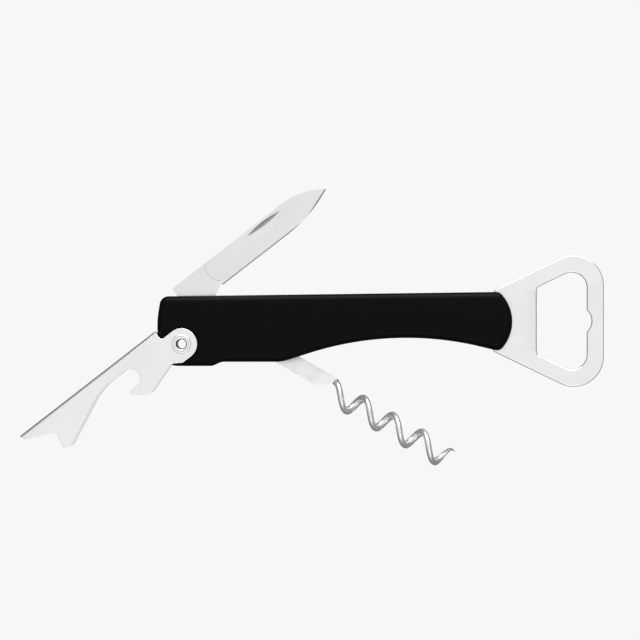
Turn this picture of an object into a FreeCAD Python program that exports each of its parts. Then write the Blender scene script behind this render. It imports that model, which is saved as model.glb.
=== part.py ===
import FreeCAD, Part

# Waiter's corkscrew with its tools part open: a riveted handle that ends in a bottle opener,
# a folding knife and a folding worm inside it, and a channel lever with two prongs at its end.
# Millimetres. X runs along the handle towards the opener, +Z is the side that faces up when
# the tool lies down, and the origin is on the lever rivet's axis at mid thickness.

import math
import os
import re

import Sketcher
from FreeCAD import Placement, Rotation, Vector

SIZES = {
    # handle outline, seen from +Z
    "handle_length": 110.7,
    "left_reach": 7.8,
    "left_slant": 1.3,
    "left_bow_height": 7.0,
    "left_foot": 1.0,
    "top_left": 14.9,
    "top_right": 16.3,
    "boss_drop": 6.9,
    "boss_end": 9.6,
    "belly_drop": 5.6,
    "belly_end": 31.5,
    "waist_peak": 5.7,
    "waist_radius": 100.0,
    "end_bulge": 7.5,
    "end_radius": 12.6,
    "end_corner": 3.3,
    "end_drop": 2.3,
    "end_middle": 7.0,
    # layers, from the middle plane outwards
    "coil_gap": 0.2,
    "liner_thickness": 0.7,
    "liner_inset": 1.6,
    "cover_wall": 1.6,
    "cover_rounding": 2.15,
    "recess_depth": 0.6,
    "recess_floor": 5.4,
    "recess_rim": 8.0,
    "stud_radius": 1.2,
    # core moulding between the liners
    "core_inset": 1.2,
    "ceiling_height": 9.6,
    "end_block": 6.1,
    "slot_gap": 0.3,
    "slot_reach": 2.9,
    "latch_floor": 8.8,
    "stop_wall": 11.4,
    # clearances
    "press_gap": 0.02,
    "running_gap": 0.05,
    "side_gap": 0.3,
    # lever and its tubular rivet
    "lever_sheet": 0.9,
    "lever_length": 57.6,
    "lever_back": 8.2,
    "spine_start": 4.3,
    "ear_radius": 4.9,
    "lever_bend": 1.2,
    "lever_angle": 217.8,
    "rivet_radius": 2.2,
    "rivet_bore": 1.5,
    "flange_radius": 3.0,
    "flange_thickness": 0.6,
    "washer_radius": 4.0,
    "sleeve_radius": 3.2,
    # knife
    "knife_height": 11.1,
    "knife_angle": 37.8,
    "knife_length": 58.8,
    "knife_thickness": 1.6,
    "knife_back": 6.8,
    "knife_edge": 1.95,
    "edge_thickness": 0.3,
    "tang_radius": 3.4,
    "ricasso": 13.6,
    "nick_start": 36.5,
    "nick_depth": 0.4,
    "nick_sweep": 55.0,
    # worm
    "worm_place": 14.8,
    "worm_height": 5.7,
    "worm_angle": -30.0,
    "wire_radius": 1.1,
    "coil_radius": 4.2,
    "coil_offset": 1.7,
    "coil_lean": 0.9,
    "coil_turns": 4.05,
    "tip_gap": 1.0,
    "tip_radius": 0.18,
    "tip_turns": 0.5,
    "shank_length": 37.8,
    "shank_half": 2.6,
    "weld_rise": 0.15,
    "shank_thickness": 2.0,
    "bush_radius": 2.4,
    "pin_radius": 1.25,
    # opener plate
    "plate_thickness": 2.0,
    "plate_edge": 0.45,
    "ring_reach": 29.5,
    "ring_half": 26.26,
    "ring_corner": 9.5,
    "neck_half": 9.8,
    "neck_cover": 4.7,
    "ring_centre": 7.2,
    "mouth_start": 8.5,
    "mouth_end": 24.2,
    "mouth_corner": 4.8,
    "mouth_half": 18.1,
    "mouth_neck": 10.5,
    "notch_reach": 25.7,
    "notch_radius": 4.55,
    "lip_length": 5.3,
    "lip_half": 9.4,
    "lip_bend": 1.2,
    "arm_low": 10.8,
    "arm_high": 14.2,
    "arm_start": 4.5,
    "arm_rivet": 4.5,
    "plate_seat": 0.4,
    "neck_rivet": 3.9,
    "neck_rivet_height": 3.0,
    "rivet_pin": 1.0,
}

doc = FreeCAD.newDocument("waiters_corkscrew")
sheet = doc.addObject("Spreadsheet::Sheet", "Sizes")
for row, (alias, number) in enumerate(SIZES.items(), start=1):
    sheet.set(f"A{row}", alias)
    sheet.set(f"B{row}", str(number))
    sheet.setAlias(f"B{row}", alias)
doc.recompute()

# Sizes that follow from the sheet, as expressions on its names.
RIGHT = "(handle_length - left_reach)"
CHANNEL = "(coil_radius + coil_gap)"
LINER_OUT = f"({CHANNEL} + liner_thickness)"
COVER_OUT = f"({LINER_OUT} + cover_wall)"
LEVER_IN = f"({COVER_OUT} + side_gap)"
LEVER_OUT = f"({LEVER_IN} + lever_sheet)"
FLANGE_IN = f"({LEVER_OUT} + running_gap)"
FLANGE_OUT = f"({FLANGE_IN} + flange_thickness)"
PIN_HOLE = "(pin_radius + press_gap)"
RIVET_HOLE = "(rivet_radius + running_gap)"
SLEEVE_BORE = "(rivet_radius + press_gap)"
SLOT_HALF = "(knife_thickness / 2 + slot_gap)"
SLOT_END = "(knife_length + slot_reach)"
BLOCK_WALL = f"({RIGHT} - end_block)"
ARM_END = f"({SLOT_END} + arm_start)"
PLATE_IN = f"({BLOCK_WALL} + plate_seat)"
CORE_RIVET = f"({SLOT_END} + 2.2)"
ARM_RIVET = f"({ARM_END} + arm_rivet)"
NECK_RIVET = f"({RIGHT} - neck_rivet)"
ARM_MIDDLE = "((arm_low + arm_high) / 2)"
WIDE_ARC = 7.0
ARC_SPAN = 2.5
STUDS = (("24", "3.5"), (f"({RIGHT} * 0.56)", "8"), (f"({RIGHT} * 0.86)", "8"))


def size(text):
    """Value of an expression on the sheet's names."""
    return float(sheet.evalExpression(text))


def bound(text):
    """The same expression as another object of the document writes it."""
    return re.sub(r"[a-z][a-z_]+", r"Sizes.\g<0>", text)


def rounded(corners):
    """Closed outline through corners (x, y, radius), each turned by a tangent arc.

    A long, wide arc is laid in several equal spans, so that it stays smooth in any mesh.
    """
    points = [Vector(x, y, 0) for x, y, _ in corners]
    turns = []
    for index, corner in enumerate(corners):
        here = points[index]
        back = points[index - 1] - here
        ahead = points[(index + 1) % len(points)] - here
        room = 0.97 * min(back.Length, ahead.Length)
        back.normalize()
        ahead.normalize()
        half = back.getAngle(ahead) / 2
        reach = min(corner[2] / math.tan(half), room)
        radius = reach * math.tan(half)
        inward = (back + ahead).normalize()
        middle = here + inward * (radius / math.sin(half) - radius)
        wide = radius > WIDE_ARC
        spans = math.ceil(radius * (math.pi - 2 * half) / ARC_SPAN) if wide else 1
        turns.append((here + back * reach, middle, here + ahead * reach, spans))
    outline = []
    for index, (start, middle, end, spans) in enumerate(turns):
        if start.distanceToPoint(end) > 1e-6:
            arc = Part.Arc(start, middle, end)
            step = (arc.LastParameter - arc.FirstParameter) / (2 * spans)
            stops = [arc.value(arc.FirstParameter + step * i) for i in range(2 * spans + 1)]
            stops[0], stops[-1] = start, end
            outline += [Part.Arc(*stops[2 * i:2 * i + 3]) for i in range(spans)]
        following = turns[(index + 1) % len(turns)][0]
        outline.append(Part.LineSegment(end, following))
    return outline


def shrunk(outline, inset):
    """The outline moved inwards by an even distance."""
    wire = Part.Wire(Part.sortEdges([curve.toShape() for curve in outline])[0])
    curves = []
    for edge in wire.makeOffset2D(-inset).Edges:
        first, last = edge.ParameterRange
        start, middle, end = (edge.valueAt(t) for t in (first, (first + last) / 2, last))
        straight = edge.Curve.TypeId == "Part::GeomLine"
        curves.append(Part.LineSegment(start, end) if straight else Part.Arc(start, middle, end))
    return curves


def new_body(label):
    """Empty body whose label names its file."""
    body = doc.addObject("PartDesign::Body", label)
    body.Label = label
    return body


def sketch(body, plane, height, outlines=()):
    """Sketch on one of the body's own origin planes, raised by an expression."""
    drawing = body.newObject("Sketcher::SketchObject", f"{body.Name}_sketch")
    support = next(item for item in body.Origin.OriginFeatures if item.Role == plane)
    drawing.AttachmentSupport = [(support, "")]
    drawing.MapMode = "FlatFace"
    drawing.setExpression("AttachmentOffset.Base.z", bound(height))
    for outline in outlines:
        drawing.addGeometry(outline, False)
    return drawing


def add_circle(drawing, x, y, radius):
    """Circle whose centre and radius follow expressions."""
    place = Vector(size(x), size(y), 0)
    circle = Part.Circle(place, Vector(0, 0, 1), size(radius))
    index = drawing.addGeometry(circle, False)
    for kind, text, value, axis in (("DistanceX", x, place.x, -2), ("DistanceY", y, place.y, -1)):
        if abs(value) < 1e-9:
            drawing.addConstraint(Sketcher.Constraint("PointOnObject", index, 3, axis))
        else:
            rule = drawing.addConstraint(Sketcher.Constraint(kind, -1, 1, index, 3, value))
            drawing.setExpression(f"Constraints[{rule}]", bound(text))
    rule = drawing.addConstraint(Sketcher.Constraint("Radius", index, size(radius)))
    drawing.setExpression(f"Constraints[{rule}]", bound(radius))


def circles(body, height, places):
    """Sketch of circles (x, y, radius) on the body's XY plane."""
    drawing = sketch(body, "XY_Plane", height)
    for x, y, radius in places:
        add_circle(drawing, x, y, radius)
    return drawing


def pad(body, drawing, length, both_ways=False, reverse=False):
    """Add the sketch's area, raised by an expression."""
    feature = body.newObject("PartDesign::Pad", f"{body.Name}_pad")
    feature.Profile = drawing
    feature.setExpression("Length", bound(length))
    feature.SideType = "Symmetric" if both_ways else "One side"
    feature.Reversed = reverse
    doc.recompute()
    return feature


def cut(body, drawing, length, both_ways=True, reverse=False):
    """Remove the sketch's area over an expression's length."""
    before = body.Shape.Volume
    feature = body.newObject("PartDesign::Pocket", f"{body.Name}_pocket")
    feature.Profile = drawing
    feature.setExpression("Length", bound(length))
    feature.SideType = "Symmetric" if both_ways else "One side"
    feature.Reversed = reverse
    doc.recompute()
    if body.Shape.Volume > before - 1e-3:
        raise RuntimeError(f"{body.Label}: a pocket removed nothing")
    return feature


def turned(body, kind, drawing, axis="V_Axis"):
    """Full turn of the sketch about one of its axes, added or removed."""
    feature = body.newObject(f"PartDesign::{kind}", f"{body.Name}_turn")
    feature.Profile = drawing
    feature.ReferenceAxis = (drawing, [axis])
    feature.Angle = 360
    doc.recompute()
    return feature


def round_edges(body, base, radius, wanted):
    """Fillet the edges of the last feature that the test picks."""
    names = [f"Edge{i}" for i, edge in enumerate(base.Shape.Edges, start=1) if wanted(edge)]
    feature = body.newObject("PartDesign::Fillet", f"{body.Name}_round")
    feature.Base = (base, names)
    feature.setExpression("Radius", bound(radius))
    doc.recompute()


def flat_at(level):
    """Test for edges that lie wholly at one height."""
    def wanted(edge):
        return all(abs(point.Z - level) < 1e-6 for point in edge.Vertexes) and \
            abs(edge.valueAt(sum(edge.ParameterRange) / 2).z - level) < 1e-6
    return wanted


def peg(label, places, radius, half):
    """Straight pins across the middle plane, one solid for each place."""
    body = new_body(label)
    if len(places) > 1:
        body.AllowCompound = True
    pad(body, circles(body, "0", [(x, y, radius) for x, y in places]), f"2 * {half}", both_ways=True)


def tube(label, place, inner, outer, low, high):
    """Plain ring between two heights."""
    body = new_body(label)
    x, y = place
    pad(body, circles(body, low, [(x, y, outer), (x, y, inner)]), f"({high}) - ({low})")


# Outlines that several pieces share.
right = size(RIGHT)
left = size("left_reach")
handle_outline = rounded([
    (-left + size("left_slant"), size("top_left"), 2.8),
    (right - size("end_corner"), size("top_right"), 2.4),
    (right - size("end_corner") + size("end_bulge"), size("end_middle"), size("end_radius")),
    (right - size("end_corner"), -size("end_drop"), 2.4),
    ((size("belly_end") + right) / 2 - 0.6, size("waist_peak"), size("waist_radius")),
    (size("belly_end"), -size("belly_drop"), 14.0),
    (size("boss_end") + 3.0, -size("belly_drop"), 3.0),
    (size("boss_end"), -size("boss_drop"), 3.0),
    (-left + size("left_foot"), -size("boss_drop"), 6.2),
    (-left, size("left_bow_height"), 30.0),
])
PIVOTS = {
    "lever": ("0", "0"),
    "knife": ("0", "knife_height"),
    "worm": ("worm_place", "worm_height"),
}
OPENER_RIVETS = ((ARM_RIVET, ARM_MIDDLE), (NECK_RIVET, "neck_rivet_height"))
HELD_HOLES = (
    PIVOTS["knife"] + (PIN_HOLE,),
    PIVOTS["worm"] + (PIN_HOLE,),
    OPENER_RIVETS[0] + ("(rivet_pin + press_gap)",),
    OPENER_RIVETS[1] + ("(rivet_pin + press_gap)",),
    (CORE_RIVET, ARM_MIDDLE, "(rivet_pin + press_gap)"),
)


def make_cover(label, side):
    """Moulded scale with rounded edges, a seat for the liner and a sunk ring at the lever."""
    body = new_body(label)
    base = sketch(body, "XY_Plane", f"{side} * {CHANNEL}", [handle_outline])
    slab = pad(body, base, "liner_thickness + cover_wall", reverse=side < 0)
    round_edges(body, slab, "cover_rounding", flat_at(side * size(COVER_OUT)))
    seat = shrunk(handle_outline, size("liner_inset - running_gap"))
    floor = sketch(body, "XY_Plane", f"{side} * {CHANNEL}", [seat])
    cut(body, floor, "liner_thickness", both_ways=False, reverse=side > 0)
    studs = circles(body, f"{side} * {CHANNEL}", [(x, y, "stud_radius") for x, y in STUDS])
    pad(body, studs, "liner_thickness + press_gap", reverse=side < 0)
    low, top = side * size(f"{COVER_OUT} - recess_depth"), side * size(COVER_OUT)
    over = top + side
    rim = size("recess_rim")
    scoop = [(0, low, 0), (size("recess_floor"), low, 0), (rim, top, 0), (rim, over, 0), (0, over, 0)]
    turned(body, "Groove", sketch(body, "XZ_Plane", "0", [rounded(scoop)]))
    cut(body, circles(body, "0", [PIVOTS["lever"] + (RIVET_HOLE,)]), f"3 * {COVER_OUT}")


def make_liner(label, side):
    """Steel side plate that carries every pin."""
    body = new_body(label)
    outline = shrunk(handle_outline, size("liner_inset"))
    base = sketch(body, "XY_Plane", f"{side} * {CHANNEL}", [outline])
    pad(body, base, "liner_thickness", reverse=side < 0)
    places = [PIVOTS["lever"] + (RIVET_HOLE,), *HELD_HOLES]
    places += [(x, y, "(stud_radius + running_gap)") for x, y in STUDS]
    cut(body, circles(body, "0", places), f"3 * {COVER_OUT}")


def make_core():
    """Moulding between the liners: blade slot, worm hollow and the opener's end block."""
    body = new_body("core_moulding")
    wall, ceiling = size(BLOCK_WALL), size("ceiling_height")
    inset, stop = size("core_inset"), size("stop_wall")
    outline = rounded([
        (-left + size("left_slant") + inset, size("top_left") - inset, 2.2),
        (right - size("end_corner") - inset, size("top_right") - inset, 1.5),
        (right - inset - 0.7, size("end_middle"), 8.0),
        (right - size("end_corner") - inset, -size("end_drop") + inset, 1.0),
        (wall, -size("end_drop") + inset, 0.4),
        (wall, ceiling, 2.0),
        (stop, ceiling, 2.0),
        (stop, -size("belly_drop") + 1.0, 0.8),
        (size("boss_end") - 0.6, -size("boss_drop") + 1.0, 1.0),
        (-left + size("left_foot") + inset, -size("boss_drop") + 1.0, 5.2),
        (-left + inset, size("left_bow_height"), 30.0),
    ])
    base = sketch(body, "XY_Plane", "0", [outline])
    pad(body, base, f"2 * ({CHANNEL} - press_gap)", both_ways=True)
    height, slot_end = size("knife_height"), size(SLOT_END)
    reach = size("knife_back") + 0.6
    beyond = left + 5
    blade_slot = rounded([
        (-beyond, height - reach, 0),
        (2.5, height - reach, 0.5),
        (6.5, height - size("tang_radius") - 0.5, 0.5),
        (size("ricasso") - 0.6, height - size("tang_radius") - 0.5, 0.5),
        (size("ricasso") - 0.6, size("latch_floor"), 0.5),
        (slot_end, size("latch_floor"), 0.5),
        (slot_end, size("top_right") + 5, 0),
        (-beyond, size("top_right") + 5, 0),
    ])
    cut(body, sketch(body, "XY_Plane", "0", [blade_slot]), f"2 * {SLOT_HALF}")
    arm_floor = size("arm_low") - 0.1
    arm_slot = rounded([
        (size(ARM_END) - 0.3, arm_floor, 0),
        (size(PLATE_IN) - 0.1, arm_floor, 1.3),
        (size(PLATE_IN) - 0.1, -10, 0),
        (right + 10, -10, 0),
        (right + 10, size("top_right") + 5, 0),
        (size(ARM_END) - 0.3, size("top_right") + 5, 0),
    ])
    cut(body, sketch(body, "XY_Plane", "0", [arm_slot]), "plate_thickness + 2 * press_gap")
    places = [PIVOTS["lever"] + ("(sleeve_radius + press_gap)",), HELD_HOLES[0], *HELD_HOLES[2:]]
    cut(body, circles(body, "0", places), f"3 * {COVER_OUT}")


def make_opener():
    """Cap lifter ring in one plate with its neck and the arm that the rivets hold."""
    body = new_body("opener_plate")
    middle, neck = size("ring_centre"), right - size("neck_cover")
    outer, inner = right + size("ring_reach"), size(PLATE_IN)
    half, plate_half = size("ring_half"), size("plate_thickness") / 2
    outline = rounded([
        (neck, middle + size("neck_half"), 0.8),
        (outer, middle + half, size("ring_corner")),
        (outer, middle - half, size("ring_corner")),
        (neck, middle - size("neck_half"), 0.8),
        (inner, middle - size("neck_half") + 1.0, 0.4),
        (inner, size("arm_low"), 1.0),
        (size(ARM_END), size("arm_low"), 0.8),
        (size(ARM_END), size("arm_high"), 0.8),
        (inner, size("arm_high"), 1.0),
    ])
    pad(body, sketch(body, "XY_Plane", "0", [outline]), "plate_thickness", both_ways=True)
    start, end = right + size("mouth_start"), right + size("mouth_end")
    mouth = rounded([
        (start, middle + size("mouth_neck"), 1.2),
        (end, middle + size("mouth_half"), size("mouth_corner")),
        (end, middle - size("mouth_half"), size("mouth_corner")),
        (start, middle - size("mouth_neck"), 1.2),
    ])
    cut(body, sketch(body, "XY_Plane", "0", [mouth]), "2 * plate_thickness")
    notch = (f"({RIGHT} + notch_reach - notch_radius)", "ring_centre", "notch_radius")
    base = cut(body, circles(body, "0", [notch]), "2 * plate_thickness")
    picks = (flat_at(plate_half), flat_at(-plate_half))
    round_edges(body, base, "plate_edge", lambda edge: any(pick(edge) for pick in picks))
    root = start - size("lip_length")
    gap = rounded([
        (root, middle + size("lip_half"), 0), (start + 0.3, middle + size("lip_half"), 0),
        (start + 0.3, middle - size("lip_half"), 0), (root, middle - size("lip_half"), 0),
    ])
    cut(body, sketch(body, "XY_Plane", "0", [gap]), "2 * plate_thickness")
    bend = size("lip_bend")
    lip = rounded([
        (root - 0.5, plate_half - 0.1, 0), (root, plate_half, 0), (start, plate_half - bend, 0.6),
        (start, -plate_half - bend, 0.6), (root, -plate_half, 0), (root - 0.5, -plate_half + 0.1, 0),
    ])
    pad(body, sketch(body, "XZ_Plane", "0 - ring_centre", [lip]), "2 * lip_half", both_ways=True)
    cut(body, circles(body, "0", [HELD_HOLES[2], HELD_HOLES[3]]), "2 * plate_thickness")


def make_knife():
    """Foil knife: flat ground blade, nail nick, and a tang that turns on its pin."""
    body = new_body("knife_blade")
    long, back, edge = size("knife_length"), size("knife_back"), size("knife_edge")
    tang, start = size("tang_radius"), size("ricasso")
    outline = rounded([
        (1.4, back, 0.3),
        (long - 7.6, back, 22.0),
        (long, back - 4.85, 0.15),
        (long - 9.6, -edge, 46.0),
        (start + 1.2, -edge, 0.3),
        (start + 0.4, -1.3, 0.4),
        (start - 2.9, -tang + 0.2, 0.6),
        (2.0, -tang, 1.0),
        (-tang, -tang, tang - 0.05),
        (-tang, tang, tang - 0.05),
        (1.2, tang, 0.5),
    ])
    pad(body, sketch(body, "XY_Plane", "0", [outline]), "knife_thickness", both_ways=True)
    face, thin = size("knife_thickness") / 2, size("edge_thickness") / 2
    for side in (1, -1):
        wedge = rounded([
            (back + 0.5, side * face, 0), (back + 0.5, side * (face + 1), 0),
            (-edge - 1, side * (face + 1), 0), (-edge - 1, side * thin, 0),
        ])
        bevel = sketch(body, "YZ_Plane", "ricasso", [wedge])
        cut(body, bevel, "knife_length", both_ways=False, reverse=True)
    sweep = size("nick_sweep")
    bottom = face - 0.04 - size("nick_depth")
    nick = sketch(body, "YZ_Plane", "nick_start")
    nick.addGeometry(rounded([
        (back - 0.7, bottom + sweep, 0), (back - 0.7, bottom, 0),
        (back - 2.1, face - 0.12, 0), (back - 2.1, bottom + sweep, 0),
    ]), False)
    axis = Part.LineSegment(Vector(-1, bottom + sweep, 0), Vector(1, bottom + sweep, 0))
    nick.addGeometry(axis, True)
    turned(body, "Groove", nick, "Axis0")
    cut(body, circles(body, "0", [("0", "0", "(pin_radius + running_gap)")]), "4 * knife_thickness")
    body.setExpression("Placement.Base.y", bound("knife_height"))
    body.Placement.Rotation = Rotation(Vector(0, 0, 1), size("knife_angle"))


def make_lever():
    """Folded channel: round ears on the rivet, a hook half way and two prongs at the end."""
    body = new_body("lever")
    long, ear, back = size("lever_length"), size("ear_radius"), size("lever_back")
    outline = rounded([
        (size("spine_start"), -back, 0),
        (long, -back, 0),
        (long - 0.7, -back + 1.8, 0.5),
        (long - 9.8, -2.2, 0.6),
        (long - 8.6, 2.9, 0.6),
        (long - 10.9, 4.1, 0.8),
        (28.5, -4.2, 22.0),
        (16.2, -4.3, 2.8),
        (16.4, 1.7, 2.8),
        (21.9, 1.95, 0.2),
        (21.8, 3.0, 0.5),
        (17.5, 6.7, 3.5),
        (6.2, 3.0, 2.0),
        (3.2, ear, 1.0),
        (-ear, ear, ear - 0.05),
        (-ear, -ear, ear - 0.05),
        (4.1, -ear, 0.8),
    ])
    slab = pad(body, sketch(body, "XY_Plane", "0", [outline]), f"2 * {LEVER_OUT}", both_ways=True)
    faces = (size(LEVER_OUT), -size(LEVER_OUT))

    def on_spine(edge):
        low = all(abs(point.Y + back) < 1e-6 for point in edge.Vertexes)
        return low and any(flat_at(level)(edge) for level in faces)

    round_edges(body, slab, "lever_bend", on_spine)
    inside = -back + size("lever_sheet")
    channel = rounded([
        (-20, inside, 0), (long + 20, inside, 0), (long + 20, 20, 0), (-20, 20, 0),
    ])
    cut(body, sketch(body, "XY_Plane", "0", [channel]), f"2 * {LEVER_IN}")
    cut(body, circles(body, "0", [PIVOTS["lever"] + (RIVET_HOLE,)]), f"3 * {LEVER_OUT}")
    body.Placement.Rotation = Rotation(Vector(0, 0, 1), size("lever_angle"))


def make_lever_rivet():
    """Tubular rivet with rolled flanges; its bore is open from side to side."""
    body = new_body("lever_rivet")
    bore, barrel, flange = size("rivet_bore"), size("rivet_radius"), size("flange_radius")
    low, high = size(FLANGE_IN), size(FLANGE_OUT)
    profile = rounded([
        (bore, -high, 0.3), (flange, -high, 0.35), (flange, -low, 0), (barrel, -low, 0),
        (barrel, low, 0), (flange, low, 0), (flange, high, 0.35), (bore, high, 0.3),
    ])
    turned(body, "Revolution", sketch(body, "XZ_Plane", "0", [profile]))


def make_worm():
    """Flattened shank and a right-hand coil whose turns lean, drawn out to a sharp tip."""
    wire, start = size("wire_radius"), size("shank_length")
    coil, turns = size("coil_radius - wire_radius"), size("coil_turns")
    reach = size(f"{BLOCK_WALL} - tip_gap - worm_place")
    pitch = (reach - start - size("tip_radius")) / turns
    middle, lean = -size("coil_offset"), size("coil_lean")
    half, flat = size("shank_half"), size("shank_thickness")

    def centre(turn):
        angle = 2 * math.pi * turn
        along = start + pitch * turn + lean * (1 - math.cos(angle))
        return Vector(along, middle + coil * math.cos(angle), coil * math.sin(angle))

    def section(turn):
        left_over = max(0.0, min((turns - turn) / size("tip_turns"), 1.0))
        radius = size("tip_radius") + (wire - size("tip_radius")) * left_over
        tangent = centre(turn + 1e-4) - centre(turn - 1e-4)
        outward = centre(turn) - Vector(centre(turn).x, middle, 0)
        ring = Part.Wire(Part.makeCircle(radius))
        turn_to = Rotation(outward, Vector(), tangent, "ZXY")
        ring.Placement = Placement(centre(turn), turn_to)
        return ring

    def swept(first, last):
        steps = max(6, round(12 * (last - first)))
        line = Part.BSplineCurve()
        line.interpolate([centre(first + (last - first) * i / steps) for i in range(steps + 1)])
        shell = Part.BRepOffsetAPI.MakePipeShell(Part.Wire(line.toShape()))
        shell.setFrenetMode(True)
        shell.add(section(first))
        shell.add(section(last))
        shell.build()
        shell.makeSolid()
        return shell.shape()

    taper = turns - size("tip_turns")
    wire_solid = swept(0, taper).fuse(swept(taper, turns))
    joint = Part.makeSphere(size("wire_radius + weld_rise"), centre(0))
    outline = rounded([
        (-half, -half, half - 0.05), (start - 4.1, -half, 1.5), (start - 1.0, 0.4, 1.0),
        (start + 0.2, half, 1.0), (-half, half, half - 0.05),
    ])
    face = Part.Face(Part.Wire(Part.sortEdges([curve.toShape() for curve in outline])[0]))
    face.translate(Vector(0, 0, -flat / 2))
    shank = face.extrude(Vector(0, 0, flat))
    flats = [edge for edge in shank.Edges if flat_at(flat / 2)(edge) or flat_at(-flat / 2)(edge)]
    shank = shank.makeFillet(0.3, flats)
    hole = Part.makeCylinder(size("pin_radius + running_gap"), 2 * flat, Vector(0, 0, -flat))
    piece = doc.addObject("Part::Feature", "worm")
    piece.Label = "worm"
    piece.Shape = shank.cut(hole).fuse(joint).fuse(wire_solid)
    spin = Rotation(Vector(0, 0, 1), size("worm_angle"))
    piece.Placement = Placement(Vector(size("worm_place"), size("worm_height"), 0), spin)


make_cover("front_cover", 1)
make_cover("back_cover", -1)
make_liner("front_liner", 1)
make_liner("back_liner", -1)
make_core()
make_opener()
make_knife()
make_lever()
make_lever_rivet()
make_worm()
peg("opener_rivets", OPENER_RIVETS, "rivet_pin", LINER_OUT)
peg("core_rivet", [(CORE_RIVET, ARM_MIDDLE)], "rivet_pin", LINER_OUT)
peg("knife_pin", [PIVOTS["knife"]], "pin_radius", LINER_OUT)
peg("worm_pin", [PIVOTS["worm"]], "pin_radius", LINER_OUT)
tube("lever_sleeve", PIVOTS["lever"], SLEEVE_BORE, "sleeve_radius",
     f"0 - {CHANNEL} + press_gap", f"{CHANNEL} - press_gap")

# Rings that come in a front and a back copy: pivot, inner and outer radius, and the two heights.
RINGS = {
    "lever_washer": ("lever", SLEEVE_BORE, "washer_radius",
                     f"{COVER_OUT} - recess_depth", f"{LEVER_IN} - running_gap"),
    "knife_washer": ("knife", PIN_HOLE, "(tang_radius - 0.6)",
                     "knife_thickness / 2 + 0.03", f"{SLOT_HALF} - press_gap"),
    "worm_bush": ("worm", PIN_HOLE, "bush_radius",
                  "shank_thickness / 2 + running_gap", f"{CHANNEL} - press_gap"),
}
for name, (pivot, inner, outer, low, high) in RINGS.items():
    tube(f"{name}_front", PIVOTS[pivot], inner, outer, low, high)
    tube(f"{name}_back", PIVOTS[pivot], inner, outer, f"0 - ({high})", f"0 - ({low})")

doc.recompute()
failed = [item.Name for item in doc.Objects if {"Invalid", "Error"} & set(item.State)]
if failed:
    raise RuntimeError(f"objects in error: {failed}")

nodes = [item for item in doc.Objects if item.TypeId == "PartDesign::Body" or item.Name == "worm"]
for item in nodes:
    if item.Shape.isNull() or not item.Shape.isValid():
        raise RuntimeError(f"{item.Label} has no valid shape")

os.makedirs("parts", exist_ok=True)
for item in nodes:
    item.Shape.exportStep(f"parts/{item.Label}.step")
    print(item.Label, len(item.Shape.Solids), round(item.Shape.Volume, 1))
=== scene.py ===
"""Looks of a folding waiter's corkscrew: steel tools, a black handle and soft studio light."""
import logging
import math
from dataclasses import dataclass
from typing import Any, Sequence

import bmesh
import bpy
from mathutils import Matrix, Vector


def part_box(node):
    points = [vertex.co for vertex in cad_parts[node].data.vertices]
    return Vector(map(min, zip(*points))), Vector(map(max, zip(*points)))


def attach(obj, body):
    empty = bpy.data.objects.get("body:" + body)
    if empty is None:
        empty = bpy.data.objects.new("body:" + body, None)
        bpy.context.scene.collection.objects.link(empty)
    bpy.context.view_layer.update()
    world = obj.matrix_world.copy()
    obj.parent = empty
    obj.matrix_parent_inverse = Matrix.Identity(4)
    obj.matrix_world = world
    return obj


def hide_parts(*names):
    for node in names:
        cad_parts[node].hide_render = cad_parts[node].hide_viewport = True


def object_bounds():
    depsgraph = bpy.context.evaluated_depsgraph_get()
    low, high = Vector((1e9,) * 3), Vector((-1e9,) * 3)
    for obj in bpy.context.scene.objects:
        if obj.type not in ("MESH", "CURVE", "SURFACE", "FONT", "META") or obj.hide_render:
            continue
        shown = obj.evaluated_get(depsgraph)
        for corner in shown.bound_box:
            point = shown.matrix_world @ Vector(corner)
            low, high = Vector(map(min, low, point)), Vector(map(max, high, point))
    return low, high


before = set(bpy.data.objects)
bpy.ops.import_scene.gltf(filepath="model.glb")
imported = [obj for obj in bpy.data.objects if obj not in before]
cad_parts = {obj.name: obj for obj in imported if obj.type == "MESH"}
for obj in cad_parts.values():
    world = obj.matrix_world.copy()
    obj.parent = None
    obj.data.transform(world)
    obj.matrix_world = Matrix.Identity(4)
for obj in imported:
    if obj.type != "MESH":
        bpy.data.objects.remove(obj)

CAD_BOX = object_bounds()
CENTRE = (CAD_BOX[0] + CAD_BOX[1]) / 2
MM = 0.001
SAME_SPOT = 0.0005 * MM
LOG = logging.getLogger("waiters_corkscrew")
Colour = tuple[float, float, float]
Point = tuple[float, float, float]
Step = tuple[float, float]
FINISHES: dict[str, bpy.types.Material] = {}


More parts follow.
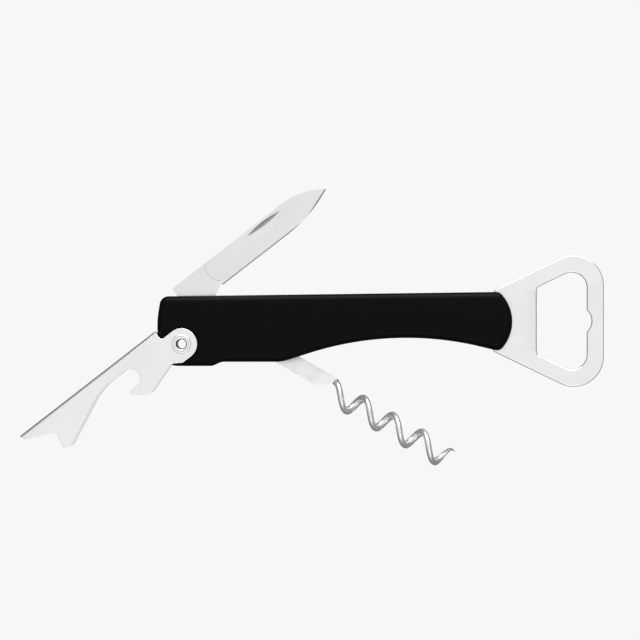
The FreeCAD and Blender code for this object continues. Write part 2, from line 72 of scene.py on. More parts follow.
class Signal:
    """A node's output that Python's operators can work on."""

    def __init__(self, bench: "ShaderBench", socket: bpy.types.NodeSocket) -> None:
        """Keep the bench that adds nodes and the socket that the value comes from.

        Args:
            bench: maker of the material's nodes.
            socket: output socket that carries the value.
        """
        self.bench = bench
        self.socket = socket

    def maths(self, operation: str, first: Any, second: Any = 0.0) -> "Signal":
        """Add one Math node.

        Args:
            operation: Blender's name of the operation.
            first: first value or signal.
            second: second value or signal.

        Returns:
            The node's result.
        """
        return self.bench.node("ShaderNodeMath", {"operation": operation}, {0: first, 1: second})

    def __add__(self, other: Any) -> "Signal":
        """Sum."""
        return self.maths("ADD", self, other)

    def __sub__(self, other: Any) -> "Signal":
        """Difference."""
        return self.maths("SUBTRACT", self, other)

    def __rsub__(self, other: Any) -> "Signal":
        """Difference from a number."""
        return self.maths("SUBTRACT", other, self)

    def __mul__(self, other: Any) -> "Signal":
        """Product."""
        return self.maths("MULTIPLY", self, other)

    def __truediv__(self, other: Any) -> "Signal":
        """Quotient."""
        return self.maths("DIVIDE", self, other)

    __radd__ = __add__

    def under(self, other: Any) -> "Signal":
        """The smaller of the two."""
        return self.maths("MINIMUM", self, other)

    def over(self, other: Any) -> "Signal":
        """The larger of the two."""
        return self.maths("MAXIMUM", self, other)

    def size(self) -> "Signal":
        """The value without its sign."""
        return self.maths("ABSOLUTE", self)

    def squared(self) -> "Signal":
        """The value times itself."""
        return self.maths("MULTIPLY", self, self)

    def root(self) -> "Signal":
        """The square root."""
        return self.maths("SQRT", self)

    def clear_of(self, low: float, high: float) -> "Signal":
        """Zero below low, one above high and smooth between them.

        Args:
            low: value where the step starts.
            high: value where the step ends.

        Returns:
            The step, from 0 to 1.
        """
        settings = {"interpolation_type": "SMOOTHSTEP"}
        return self.bench.node("ShaderNodeMapRange", settings, {0: self, 1: low, 2: high})

    def short_of(self, low: float, high: float) -> "Signal":
        """One below low, zero above high and smooth between them.

        Args:
            low: value where the step starts.
            high: value where the step ends.

        Returns:
            The step, from 1 to 0.
        """
        return 1.0 - self.clear_of(low, high)


class ShaderBench:
    """One material and the nodes that are added to it."""

    def __init__(self, name: str) -> None:
        """Start an empty material with its surface shader.

        Args:
            name: the material's name.
        """
        self.material = bpy.data.materials.new(name)
        self.material.use_nodes = True
        self.tree = self.material.node_tree
        self.surface = next(n for n in self.tree.nodes if n.type == "BSDF_PRINCIPLED")

    def node(self, kind: str, settings: dict[str, Any], inputs: dict[Any, Any],
             output: Any = 0) -> Signal:
        """Add a node with its settings, then its values and links.

        Args:
            kind: the node's type.
            settings: the node's properties.
            inputs: values or signals by socket.
            output: socket that the result comes from.

        Returns:
            The chosen output.
        """
        made = self.tree.nodes.new(kind)
        for key, value in settings.items():
            setattr(made, key, value)
        for key, value in inputs.items():
            self.feed(made.inputs[key], value)
        return Signal(self, made.outputs[output])

    def feed(self, socket: bpy.types.NodeSocket, value: Any) -> None:
        """Link a signal to a socket, or set its value.

        Args:
            socket: input socket.
            value: signal, number or row of numbers.
        """
        if isinstance(value, Signal):
            self.tree.links.new(value.socket, socket)
        elif isinstance(value, (tuple, list)) and len(value) == 3 and socket.type == "RGBA":
            socket.default_value = (*value, 1.0)
        else:
            socket.default_value = value

    def dress(self, **sockets: Any) -> bpy.types.Material:
        """Set the surface shader's sockets.

        Args:
            **sockets: values by socket name, with _ for each space.

        Returns:
            The finished material.
        """
        for key, value in sockets.items():
            self.feed(self.surface.inputs[key.replace("_", " ")], value)
        return self.material

    def place(self, turn: float = 0.0, stretch: Point = (1.0, 1.0, 1.0),
              centre: Point = (0.0, 0.0, 0.0)) -> Signal:
        """Object coordinates in metres, turned about Z and stretched.

        Args:
            turn: angle of the pattern's own X axis, in degrees.
            stretch: scale along the pattern's own axes.
            centre: point that the pattern turns about.

        Returns:
            The coordinates.
        """
        spot = self.node("ShaderNodeTexCoord", {}, {}, "Object")
        moved = self.node("ShaderNodeVectorMath", {"operation": "SUBTRACT"}, {0: spot, 1: centre})
        around = (0.0, 0.0, math.radians(-turn))
        turned = self.node("ShaderNodeMapping", {}, {"Vector": moved, "Rotation": around})
        return self.node("ShaderNodeVectorMath", {"operation": "MULTIPLY"}, {0: turned, 1: stretch})

    def flat_axes(self, where: Signal) -> tuple[Signal, Signal]:
        """Split coordinates into their X and Y.

        Args:
            where: coordinates.

        Returns:
            X and Y.
        """
        parts = [self.node("ShaderNodeSeparateXYZ", {}, {0: where}, i) for i in range(2)]
        return parts[0], parts[1]

    def noise(self, where: Signal, size: float, detail: float = 3.0, rough: float = 0.55) -> Signal:
        """Noise whose patches are about size metres wide.

        Args:
            where: coordinates.
            size: width of a patch in metres.
            detail: octaves of finer noise.
            rough: share of the finer octaves.

        Returns:
            Values about 0.5.
        """
        values = {"Vector": where, "Scale": 1.0 / size, "Detail": detail, "Roughness": rough}
        return self.node("ShaderNodeTexNoise", {}, values)

    def tint(self, mask: Any, low: Any, high: Any) -> Signal:
        """Mix of two colours.

        Args:
            mask: 0 for the first colour, 1 for the second.
            low: first colour.
            high: second colour.

        Returns:
            The mixed colour.
        """
        sockets = {0: mask, 6: low, 7: high}
        return self.node("ShaderNodeMix", {"data_type": "RGBA"}, sockets, 2)

    def relief(self, height: Signal, depth: float, strength: float) -> Signal:
        """Normal bent by a height map.

        Args:
            height: map from 0 to 1.
            depth: what 1 stands for, in metres.
            strength: share of the effect that is kept.

        Returns:
            The normal.
        """
        values = {"Strength": strength, "Distance": depth, "Height": height}
        return self.node("ShaderNodeBump", {}, values)


@dataclass(frozen=True)
class MouldedPlastic:
    """Black moulding with a fine spark-eroded grain, cloudy sheen and a few rubs."""

    name: str
    colour: Colour = (0.0018, 0.0018, 0.0019)
    worn: Colour = (0.0050, 0.0050, 0.0052)
    roughness: float = 0.42
    gloss: float = 0.055
    grain: float = 0.28 * MM
    depth: float = 0.012 * MM
    cloud: float = 14 * MM
    rub: float = 0.5 * MM
    rub_turn: float = 12.0
    rub_stretch: Point = (0.06, 1.0, 1.0)
    rub_step: Step = (0.60, 0.74)
    cloud_step: Step = (0.48, 0.66)

    def made(self) -> bpy.types.Material:
        """The finish as a material."""
        bench = ShaderBench(self.name)
        spot = bench.place()
        grain = bench.noise(spot, self.grain, 2.0)
        clouds = bench.noise(spot, self.cloud, 4.0)
        rubs = bench.noise(bench.place(self.rub_turn, self.rub_stretch), self.rub, 3.0)
        scuff = rubs.clear_of(*self.rub_step) * clouds.clear_of(*self.cloud_step)
        return bench.dress(
            Base_Color=bench.tint(scuff * 0.7, self.colour, self.worn),
            Roughness=self.roughness + (clouds - 0.5) * 0.10 + (grain - 0.5) * 0.10 - scuff * 0.05,
            Normal=bench.relief(grain + scuff * 0.15, self.depth, 0.7),
            Specular_IOR_Level=self.gloss,
        )


@dataclass(frozen=True)
class SheetSteel:
    """Steel sheet, ground in one direction, then lightly polished."""

    name: str
    turn: float = 0.0
    colour: Colour = (0.84, 0.84, 0.838)
    shade: Colour = (0.80, 0.80, 0.802)
    # painted shade: colour painted on dark lines and hollows to stand for their shade
    painted_shade: Colour = (0.10, 0.10, 0.105)
    roughness: float = 0.25
    line: float = 0.09 * MM
    line_stretch: Point = (0.025, 1.0, 1.0)
    cloud: float = 9 * MM
    cloud_stretch: Point = (0.5, 1.0, 1.0)
    patch_step: Step = (0.35, 0.68)
    scratch: float = 0.22 * MM
    scratch_turn: float = 9.0
    scratch_stretch: Point = (0.04, 1.0, 1.0)
    scratch_step: Step = (0.70, 0.76)
    depth: float = 0.0009 * MM

    def grind(self, bench: ShaderBench) -> tuple[Signal, Signal, Signal]:
        """Fine lines, cloudy patches and a few longer scratches.

        Args:
            bench: maker of the material's nodes.

        Returns:
            The lines, the patches and the scratches.
        """
        lines = bench.noise(bench.place(self.turn, self.line_stretch), self.line, 3.0, 0.7)
        clouds = bench.noise(bench.place(self.turn, self.cloud_stretch), self.cloud, 3.0)
        scored = bench.place(self.turn + self.scratch_turn, self.scratch_stretch)
        scratches = bench.noise(scored, self.scratch, 1.0)
        return lines, clouds, scratches.clear_of(*self.scratch_step)

    def finish(self, bench: ShaderBench, dark: Signal | None = None) -> bpy.types.Material:
        """Dress the surface.

        Args:
            bench: maker of the material's nodes.
            dark: mask of the painted shade on lines and hollows, if there are any.

        Returns:
            The material.
        """
        lines, clouds, scratches = self.grind(bench)
        patches = (clouds * 0.7 + lines * 0.3).clear_of(*self.patch_step)
        colour = bench.tint(patches, self.shade, self.colour)
        if dark is not None:
            # painted shade: the dark mask paints shade on lines and hollows
            colour = bench.tint(dark, colour, self.painted_shade)
        gloss = self.roughness + (lines - 0.5) * 0.12 + (clouds - 0.5) * 0.08 + scratches * 0.05
        return bench.dress(
            Base_Color=colour,
            Metallic=1.0,
            Roughness=gloss,
            Normal=bench.relief(lines - scratches * 0.6, self.depth, 0.8),
        )

    def made(self) -> bpy.types.Material:
        """The finish as a material."""
        return self.finish(ShaderBench(self.name))


@dataclass(frozen=True)
class BladeSteel(SheetSteel):
    """Ground blade with painted shade along its honed edge, in its nail nick and on the curved end
    of its grind.
    """

    pivot: Point = (0.0, 11.1 * MM, 0.0)
    edge: float = 1.95 * MM
    ricasso: float = 14.4 * MM
    belly: float = 47.6 * MM
    tip: Point = (58.8 * MM, 1.95 * MM, 0.0)
    hone: float = 0.42 * MM
    hone_fade: float = 0.4 * MM
    nick: Point = (36.5 * MM, 5.4 * MM, 0.0)
    nick_half: tuple[float, float] = (6.7 * MM, 0.72 * MM)
    nick_fade: float = 0.08 * MM
    grind_end: Point = (17.9 * MM, 3.3 * MM, 0.0)
    grind_radius: float = 4.9 * MM
    grind_line: float = 0.11 * MM
    heel_step: Step = (14.9 * MM, 15.1 * MM)

    def made(self) -> bpy.types.Material:
        """The finish as a material."""
        bench = ShaderBench(self.name)
        along, across = bench.flat_axes(bench.place(self.turn, centre=self.pivot))
        rise = (self.tip[1] + self.edge) / (self.tip[0] - self.belly)
        straight = across + self.edge
        curved = (across + self.edge - (along - self.belly) * rise) * math.cos(math.atan(rise))
        # painted shade along the honed edge bevel
        strip = straight.under(curved).short_of(self.hone * 0.75, self.hone)
        strip = strip * along.clear_of(self.ricasso, self.ricasso + self.hone_fade) * 0.75
        # painted shade in the nail nick, deepest towards the spine
        share = (along - self.nick[0]) / self.nick_half[0]
        lens = (1.0 - share.squared()) * self.nick_half[1] - (across - self.nick[1]).size()
        shade = (across - self.nick[1]) / self.nick_half[1]
        nick = lens.clear_of(0.0, self.nick_fade) * (0.70 + shade * 0.22)
        # painted shade along the curved end of the grind
        reach = (along - self.grind_end[0]).squared() + (across - self.grind_end[1]).squared()
        line = (reach.root() - self.grind_radius).size()
        heel = along.short_of(*self.heel_step)
        line = line.short_of(self.grind_line * 0.4, self.grind_line) * heel * 0.45
        return self.finish(bench, strip.over(nick).over(line))


@dataclass(frozen=True)
class PolishedSteel:
    """Bright steel with faint drawing marks and handling smudges."""

    name: str
    colour: Colour = (0.86, 0.86, 0.865)
    smudged: Colour = (0.77, 0.77, 0.772)
    roughness: float = 0.17
    turn: float = 0.0
    smudge: float = 5 * MM
    smudge_step: Step = (0.4, 0.7)
    mark: float = 0.3 * MM
    mark_stretch: Point = (0.12, 1.0, 1.0)
    depth: float = 0.0003 * MM

    def colours(self, bench: ShaderBench, smudge: Signal) -> Signal:
        """The steel's colour under its smudges.

        Args:
            bench: maker of the material's nodes.
            smudge: cloudy map from 0 to 1.

        Returns:
            The colour.
        """
        return bench.tint(smudge.clear_of(*self.smudge_step), self.colour, self.smudged)

    def made(self) -> bpy.types.Material:
        """The finish as a material."""
        bench = ShaderBench(self.name)
        smudge = bench.noise(bench.place(), self.smudge, 4.0)
        marks = bench.noise(bench.place(self.turn, self.mark_stretch), self.mark, 2.0)
        return bench.dress(
            Base_Color=self.colours(bench, smudge),
            Metallic=1.0,
            Roughness=self.roughness + (smudge - 0.5) * 0.12 + (marks - 0.5) * 0.05,
            Normal=bench.relief(marks, self.depth, 0.25),
        )


@dataclass(frozen=True)
class RivetTube(PolishedSteel):
    """Bright rolled rivet with painted shade in its bore and in the groove round its roll."""

    mouth: Step = (1.62 * MM, 1.86 * MM)
    groove: float = 2.32 * MM
    groove_half: float = 0.10 * MM
    # colour of the painted shade in the bore and in the groove round the roll
    painted_shade: Colour = (0.045, 0.045, 0.047)

    def colours(self, bench: ShaderBench, smudge: Signal) -> Signal:
        """The steel's colour, with painted shade inside the bore and in the groove round its roll.

        Args:
            bench: maker of the material's nodes.
            smudge: cloudy map from 0 to 1.

        Returns:
            The colour.
        """
        across, up = bench.flat_axes(bench.place())
        reach = (across.squared() + up.squared()).root()
        # painted shade inside the bore and in the groove round the roll
        inside = reach.short_of(*self.mouth)
        line = (reach - self.groove).size()
        groove = line.short_of(self.groove_half * 0.3, self.groove_half) * 0.55
        return bench.tint(inside.over(groove), super().colours(bench, smudge), self.painted_shade)


@dataclass(frozen=True)
class Nylon:
    """Dark turned nylon with tool marks."""

    name: str
    colour: Colour = (0.035, 0.035, 0.038)
    fleck_colour: Colour = (0.06, 0.06, 0.063)
    fleck: float = 0.35 * MM
    roughness: float = 0.5
    depth: float = 0.01 * MM

    def made(self) -> bpy.types.Material:
        """The finish as a material."""
        bench = ShaderBench(self.name)
        flecks = bench.noise(bench.place(), self.fleck, 3.0)
        return bench.dress(
            Base_Color=bench.tint(flecks, self.colour, self.fleck_colour),
            Roughness=self.roughness + (flecks - 0.5) * 0.2,
            Normal=bench.relief(flecks, self.depth, 0.6),
        )


@dataclass
class Part:
    """A piece of the tool that stands for one node of the frame, or dresses it."""

    node: str
    body: str
    finish: str
    slot: str

    def dress(self, piece: bpy.types.Object) -> None:
        """Give a piece this part's finish.

        Args:
            piece: new piece or a node of the frame.
        """
        piece.data.materials.clear()
        piece.data.materials.append(FINISHES[self.finish])
        LOG.info("%s rides on %s in %s", piece.name, self.body, self.finish)

    def keep(self) -> None:
        """Keep the frame's own piece and only give it its finish."""
        self.dress(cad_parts[self.node])

    def stand_in(self, mesh: bpy.types.Mesh) -> None:
        """Put a new mesh in the node's place, as a piece of the mesh's name.

        Args:
            mesh: the new shape.
        """
        piece = bpy.data.objects.new(mesh.name, mesh)
        bpy.context.scene.collection.objects.link(piece)
        self.dress(piece)
        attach(piece, self.body)
        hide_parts(self.node)


def soft_shading(shape: bmesh.types.BMesh, sharp_from: float = 32.0) -> None:
    """Shade smoothly, with edges kept sharp where the faces turn by more than an angle.

    Args:
        shape: mesh to shade.
        sharp_from: the angle in degrees.
    """
    limit = math.radians(sharp_from)
    for face in shape.faces:
        face.smooth = True
    for edge in shape.edges:
        edge.smooth = edge.calc_face_angle(0.0) < limit


def as_mesh(shape: bmesh.types.BMesh, name: str) -> bpy.types.Mesh:
    """Turn a finished shape into a mesh and let the shape go.

    Args:
        shape: the finished shape.
        name: the mesh's name.

    Returns:
        The mesh.
    """
    mesh = bpy.data.meshes.new(name)
    shape.to_mesh(mesh)
    shape.free()
    return mesh


def rounded(shape: bmesh.types.BMesh, geom: Sequence[Any], offset: float, segments: int,
            affect: str = "EDGES") -> None:
    """Round some of a shape's edges or corners.

    Args:
        shape: the shape, which is changed.
        geom: the edges or corners.
        offset: how far the round reaches.
        segments: number of flats in each round.
        affect: "EDGES" or "VERTICES".
    """
    bmesh.ops.bevel(
        shape, geom=geom, offset=offset, offset_type="OFFSET", affect=affect, segments=segments,
        profile=0.5, clamp_overlap=True, material=-1)


def edges_turning(shape: bmesh.types.BMesh, least: float) -> list[bmesh.types.BMEdge]:
    """Edges at which the faces turn by more than an angle.

    Args:
        shape: the shape.
        least: the angle in degrees.

    Returns:
        The edges.
    """
    limit = math.radians(least)
    return [edge for edge in shape.edges if edge.calc_face_angle(0.0) > limit]


def refined(node: str, name: str, deburred: float = 0.0) -> bpy.types.Mesh:
    """Merged copy of a node's mesh, with its edges softened where that is asked for.

    Args:
        node: node of the frame.
        name: the new mesh's name.
        deburred: how far the edges are rounded, 0 to leave them.

    Returns:
        The new mesh.
    """
    shape = bmesh.new()
    shape.from_mesh(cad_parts[node].data)
    bmesh.ops.remove_doubles(shape, verts=shape.verts[:], dist=SAME_SPOT)
    if deburred:
        bmesh.ops.dissolve_limit(
            shape, angle_limit=math.radians(0.6), verts=shape.verts[:], edges=shape.edges[:],
            use_dissolve_boundaries=False, delimit=set())
        rounded(shape, edges_turning(shape, 40.0), deburred, 3)
        bmesh.ops.remove_doubles(shape, verts=shape.verts[:], dist=SAME_SPOT)
        bmesh.ops.triangulate(shape, faces=shape.faces[:])
    soft_shading(shape)
    return as_mesh(shape, name)


@dataclass
class Handle:
    """Moulded covers over steel liners, the inner moulding, and what pins them together."""

    covers: Sequence[str] = ("front_cover", "back_cover")
    liners: Sequence[str] = ("front_liner", "back_liner")
    pins: Sequence[str] = ("opener_rivets", "core_rivet", "knife_pin", "worm_pin")

    def build(self) -> None:
        """Make the covers and dress the rest."""
        for node in self.covers:
            cover = Part(node, "handle", "handle_plastic", "handle_plastic")
            cover.stand_in(refined(node, f"{node}_moulded"))
        for node in self.liners:
            Part(node, "handle", "plate_steel", "plate_steel").keep()
        for node in self.pins:
            Part(node, "handle", "rivet_steel", "rivet_steel").keep()
        Part("core_moulding", "handle", "core_plastic", "core_plastic").keep()


@dataclass
class Opener:
    """Bottle opener ring with its bent lip."""

    node: str = "opener_plate"

    def build(self) -> None:
        """Make the ring."""
        ring = Part(self.node, "handle", "opener_steel", "tool_steel")
        ring.stand_in(refined(self.node, "opener_ring"))


@dataclass
class Knife:
    """Foil knife and the two washers beside its tang."""

    node: str = "knife_blade"
    washers: Sequence[str] = ("knife_washer_front", "knife_washer_back")

    def build(self) -> None:
        """Make the blade and dress its washers."""
        blade = Part(self.node, "knife", "blade_steel", "blade_steel")
        blade.stand_in(refined(self.node, "foil_blade"))
        for node in self.washers:
            Part(node, "handle", "rivet_steel", "rivet_steel").keep()


@dataclass
class Worm:
    """Wire worm: a flat shank on its pin, and a right-hand coil that leans and ends in a point.

    Its lengths are in millimetres, along X from the pin, until it is swung to its place.
    """

    node: str = "worm"
    bushes: Sequence[str] = ("worm_bush_front", "worm_bush_back")
    pivot: tuple[float, float] = (14.8, 5.7)
    turn: float = -30.0
    shank: float = 37.8
    half: float = 2.6
    heel: float = 2.58
    slope: Sequence[tuple[float, float, float]] = (
        (-4.1, -2.6, 1.2), (-1.0, 0.4, 0.5), (0.2, 2.6, 0.8))
    thickness: float = 2.0
    rim: float = 0.3
    pin: float = 1.3
    wire: float = 1.1
    weld: float = 1.12
    coil: float = 3.1
    middle: float = -1.7
    lean: float = 0.9
    pitch: float = 10.62
    turns: float = 3.55
    tip_turns: float = 0.5
    tip_radius: float = 0.18
    steps: int = 32
    wire_sides: int = 20
    hole_sides: int = 32

    def settled(self, shape: bmesh.types.BMesh, name: str, sharp_from: float) -> bpy.types.Mesh:
        """Swing the shape to the worm's place and shade it.

        Args:
            shape: the shape, along X from the pin, in millimetres.
            name: the mesh's name.
            sharp_from: angle from which an edge stays sharp.

        Returns:
            The mesh.
        """
        place = Matrix.Translation((self.pivot[0] * MM, self.pivot[1] * MM, 0.0))
        swing = Matrix.Rotation(math.radians(self.turn), 4, "Z")
        bmesh.ops.transform(
            shape, matrix=place @ swing @ Matrix.Scale(MM, 4), verts=shape.verts[:])
        bmesh.ops.recalc_face_normals(shape, faces=shape.faces[:])
        soft_shading(shape, sharp_from)
        return as_mesh(shape, name)

    def coil_mesh(self) -> bpy.types.Mesh:
        """Spin a ring of wire along the coil, then draw it out to a point.

        Returns:
            The coil's mesh.
        """
        shape = bmesh.new()
        ring = bmesh.ops.create_circle(
            shape, cap_ends=False, segments=self.wire_sides, radius=self.wire)["verts"]
        slope = math.atan2(self.pitch, 2 * math.pi * self.coil)
        top = (self.shank, self.middle + self.coil, 0.0)
        facing = Matrix.Translation(top) @ Matrix.Rotation(slope, 4, "Y")
        bmesh.ops.transform(shape, matrix=facing, verts=ring)
        step = {
            "cent": (0.0, self.middle, 0.0), "axis": (1.0, 0.0, 0.0),
            "dvec": (self.pitch / self.steps, 0.0, 0.0), "use_merge": False,
            "use_duplicate": False}
        count = round(self.turns * self.steps)
        last = bmesh.ops.spin(
            shape, geom=shape.verts[:] + shape.edges[:], angle=2 * math.pi * count / self.steps,
            steps=count, **step)["geom_last"]
        narrowing = round(self.tip_turns * self.steps)
        radius = self.wire
        for index in range(narrowing):
            last = bmesh.ops.spin(
                shape, geom=last, angle=2 * math.pi / self.steps, steps=1, **step)["geom_last"]
            left_over = 1.0 - (index + 1) / narrowing
            wanted = self.tip_radius + (self.wire - self.tip_radius) * left_over
            ends = [item for item in last if isinstance(item, bmesh.types.BMVert)]
            centre = sum((vert.co for vert in ends), Vector()) / len(ends)
            bmesh.ops.scale(
                shape, vec=(wanted / radius,) * 3, space=Matrix.Translation(-centre), verts=ends)
            radius = wanted
        open_edges = [edge for edge in shape.edges if edge.is_boundary]
        bmesh.ops.holes_fill(shape, edges=open_edges, sides=0)
        tilt = Matrix.Identity(4)
        tilt[0][1] = -self.lean / self.coil
        tilt[0][3] = self.lean * (1 + self.middle / self.coil)
        bmesh.ops.transform(shape, matrix=tilt, verts=shape.verts[:])
        joint = bmesh.ops.create_uvsphere(
            shape, u_segments=24, v_segments=16, radius=self.weld)["verts"]
        bmesh.ops.translate(shape, verts=joint, vec=top)
        return self.settled(shape, "worm_coil", 50.0)

    def shank_mesh(self) -> bpy.types.Mesh:
        """Cut the shank from flat bar, with its pin hole and rounded rims.

        Returns:
            The shank's mesh.
        """
        corners = (
            (-self.half, -self.half, self.heel),
            *((self.shank + x, y, reach) for x, y, reach in self.slope),
            (-self.half, self.half, self.heel),
        )
        shape = bmesh.new()
        verts = [shape.verts.new((x, y, -self.thickness / 2)) for x, y, _ in corners]
        shape.faces.new(verts)
        for vert, (_, _, reach) in zip(verts, corners):
            rounded(shape, [vert], reach, 8, "VERTICES")
        bmesh.ops.delete(shape, geom=shape.faces[:], context="FACES_ONLY")
        hole = bmesh.ops.create_circle(
            shape, cap_ends=False, segments=self.hole_sides, radius=self.pin)["verts"]
        bmesh.ops.translate(shape, verts=hole, vec=(0.0, 0.0, -self.thickness / 2))
        bmesh.ops.triangle_fill(
            shape, use_beauty=True, use_dissolve=False, edges=shape.edges[:])
        raised = bmesh.ops.extrude_face_region(shape, geom=shape.faces[:])["geom"]
        lifted = [item for item in raised if isinstance(item, bmesh.types.BMVert)]
        bmesh.ops.translate(shape, verts=lifted, vec=(0.0, 0.0, self.thickness))
        bmesh.ops.recalc_face_normals(shape, faces=shape.faces[:])
        rounded(shape, edges_turning(shape, 70.0), self.rim, 4)
        return self.settled(shape, "worm_shank", 40.0)

    def build(self) -> None:
        """Make the worm's two shapes and dress its bushes."""
        worm = Part(self.node, "worm", "worm_steel", "worm_steel")
        worm.stand_in(self.coil_mesh())
        worm.stand_in(self.shank_mesh())
        for node in self.bushes:
            Part(node, "handle", "nylon", "bush_nylon").keep()


@dataclass
class LeverHinge:
    """Tubular rivet with rolled flanges, its sleeve and its two washers."""

    bore: float = 1.5
    barrel: float = 2.2
    flange: float = 3.0
    flange_thickness: float = 0.6
    roll: float = 0.28
    funnel: float = 0.5
    steps: int = 72
    washers: Sequence[str] = ("lever_washer_front", "lever_washer_back")

    def rivet(self) -> bpy.types.Mesh:
        """Spin the rivet's section about the hinge's axis.

        Returns:
            The rivet's mesh.
        """
        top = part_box("lever_rivet")[1].z / MM
        under = top - self.flange_thickness
        section = [
            (self.bore, -top), (self.flange, -top), (self.flange, -under), (self.barrel, -under),
            (self.barrel, under), (self.flange, under), (self.flange, top), (self.bore, top),
        ]
        shape = bmesh.new()
        corners = [shape.verts.new((radius * MM, 0.0, height * MM)) for radius, height in section]
        shape.faces.new(corners)
        groups = ((self.roll, (1, 6)), (self.funnel, (0, 7)))
        for reach, picked in groups:
            rounded(shape, [corners[i] for i in picked], reach * MM, 6, "VERTICES")
        bmesh.ops.delete(shape, geom=shape.faces[:], context="FACES_ONLY")
        bmesh.ops.spin(
            shape, geom=shape.verts[:] + shape.edges[:], cent=(0.0, 0.0, 0.0), axis=(0.0, 0.0, 1.0),
            dvec=(0.0, 0.0, 0.0), angle=2 * math.pi, steps=self.steps, use_merge=True,
            use_duplicate=False)
        bmesh.ops.remove_doubles(shape, verts=shape.verts[:], dist=SAME_SPOT)
        bmesh.ops.recalc_face_normals(shape, faces=shape.faces[:])
        soft_shading(shape, 40.0)
        return as_mesh(shape, "rolled_rivet")

    def build(self) -> None:
        """Make the rivet and dress the pieces round it."""
        rivet = Part("lever_rivet", "handle", "rivet_tube", "rivet_steel")
        rivet.stand_in(self.rivet())
        Part("lever_sleeve", "handle", "rivet_steel", "rivet_steel").keep()
        for node in self.washers:
            Part(node, "handle", "nylon", "bush_nylon").keep()


@dataclass
class Lever:
    """Folded channel with round ears, a hook and two prongs."""

    node: str = "lever"
    deburred: float = 0.10 * MM

    def build(self) -> None:
        """Make the lever."""
        lever = Part(self.node, "lever", "lever_steel", "tool_steel")
        lever.stand_in(refined(self.node, "channel_lever", self.deburred))


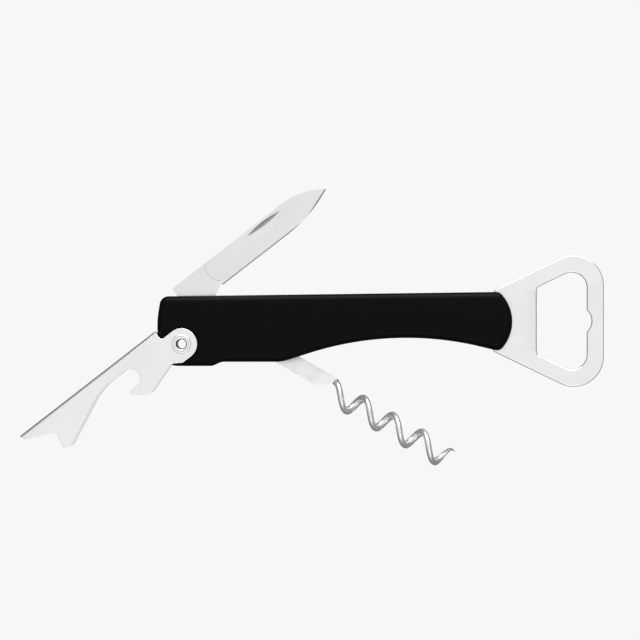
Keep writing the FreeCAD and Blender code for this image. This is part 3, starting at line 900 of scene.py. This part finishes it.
@dataclass
class Studio:
    """Pale floor, soft lights all round and a long lens straight above."""

    frame_width: float = 201.0 * MM
    shift_right: float = 2.37 * MM
    shift_up: float = 2.2 * MM
    camera_height: float = 1.4
    sensor: float = 36.0
    floor_half: float = 6.0
    floor_gap: float = 0.2 * MM
    floor_seen: float = 0.93
    floor_glow: float = 0.24
    sky_levels: Sequence[Step] = ((0.0, 0.10), (0.30, 0.33), (0.72, 0.92), (1.0, 1.0))
    lights: Sequence[tuple[str, Point, float, float, float]] = (
        ("top_edge_light", (0.08, 0.45, 0.14), 0.6, 0.34, 4.0),
        ("low_fill", (0.1, -0.5, 0.6), 0.4, 0.3, 0.5),
    )

    def camera(self) -> None:
        """Make the camera, looking straight down with +Y up."""
        data = bpy.data.cameras.new("camera")
        data.sensor_width = self.sensor
        data.lens = self.sensor * self.camera_height / self.frame_width
        camera = bpy.data.objects.new("camera", data)
        camera.location = CENTRE + Vector((self.shift_right, self.shift_up, self.camera_height))
        bpy.context.scene.collection.objects.link(camera)
        bpy.context.scene.camera = camera

    def floor(self) -> None:
        """Make the even, softly lit floor that the tool lies on."""
        shape = bmesh.new()
        bmesh.ops.create_grid(shape, x_segments=1, y_segments=1, size=self.floor_half)
        height = CAD_BOX[0].z - self.floor_gap
        bmesh.ops.translate(shape, verts=shape.verts[:], vec=(0.0, 0.0, height))
        floor = bpy.data.objects.new("floor", as_mesh(shape, "floor"))
        bpy.context.scene.collection.objects.link(floor)
        bench = ShaderBench("floor_paper")
        seen = bench.node("ShaderNodeLightPath", {}, {}, "Is Camera Ray")
        glow = self.floor_glow + seen * (self.floor_seen - self.floor_glow)
        floor.data.materials.append(bench.dress(
            Base_Color=(0.0, 0.0, 0.0), Roughness=1.0, Specular_IOR_Level=0.0,
            Emission_Color=(1.0, 1.0, 1.0), Emission_Strength=glow))

    def sky(self) -> None:
        """Light the scene from all round: bright above, dim near the horizon."""
        world = bpy.data.worlds.new("tent")
        bpy.context.scene.world = world
        world.use_nodes = True
        tree = world.node_tree
        background = next(n for n in tree.nodes if n.type == "BACKGROUND")
        spot = tree.nodes.new("ShaderNodeTexCoord")
        parts = tree.nodes.new("ShaderNodeSeparateXYZ")
        ramp = tree.nodes.new("ShaderNodeValToRGB")
        while len(ramp.color_ramp.elements) < len(self.sky_levels):
            ramp.color_ramp.elements.new(0.5)
        for element, (place, level) in zip(ramp.color_ramp.elements, self.sky_levels):
            element.position = place
            element.color = (level, level, level, 1.0)
        tree.links.new(spot.outputs["Generated"], parts.inputs[0])
        tree.links.new(parts.outputs[2], ramp.inputs[0])
        tree.links.new(ramp.outputs[0], background.inputs["Color"])

    def softbox(self, name: str, place: Point, width: float, depth: float, power: float) -> None:
        """Make one rectangular light aimed at the tool.

        Args:
            name: the light's name.
            place: where it hangs, from the tool's centre.
            width: its long side.
            depth: its short side.
            power: its power in watts.
        """
        data = bpy.data.lights.new(name, "AREA")
        data.shape = "RECTANGLE"
        data.size, data.size_y, data.energy = width, depth, power
        light = bpy.data.objects.new(name, data)
        light.location = CENTRE + Vector(place)
        light.rotation_mode = "QUATERNION"
        light.rotation_quaternion = (-Vector(place)).to_track_quat("-Z", "Y")
        bpy.context.scene.collection.objects.link(light)

    def build(self) -> None:
        """Make the camera, the floor and the lights."""
        self.camera()
        self.floor()
        self.sky()
        for light in self.lights:
            self.softbox(*light)
        bpy.context.scene.view_settings.view_transform = "Standard"


def main() -> None:
    """Build the studio and the tool, piece by piece."""
    logging.basicConfig(level=logging.INFO, format="%(message)s")
    finishes = (
        MouldedPlastic("handle_plastic"),
        MouldedPlastic("core_plastic", colour=(0.006, 0.006, 0.0063), roughness=0.55),
        SheetSteel("plate_steel", roughness=0.34),
        SheetSteel("opener_steel"),
        SheetSteel("lever_steel", turn=37.8),
        BladeSteel("blade_steel", turn=37.8, colour=(0.79, 0.79, 0.793), shade=(0.74, 0.74, 0.743),
                   roughness=0.24),
        PolishedSteel("worm_steel", colour=(0.86, 0.86, 0.865), roughness=0.45, turn=-30.0),
        PolishedSteel("rivet_steel", roughness=0.22),
        RivetTube("rivet_tube", roughness=0.2),
        Nylon("nylon"),
    )
    FINISHES.update({finish.name: finish.made() for finish in finishes})
    Studio().build()
    for assembly in (Handle(), Opener(), Knife(), Worm(), LeverHinge(), Lever()):
        assembly.build()
        LOG.info("%s is built", type(assembly).__name__)


if __name__ == "__main__":
    main()
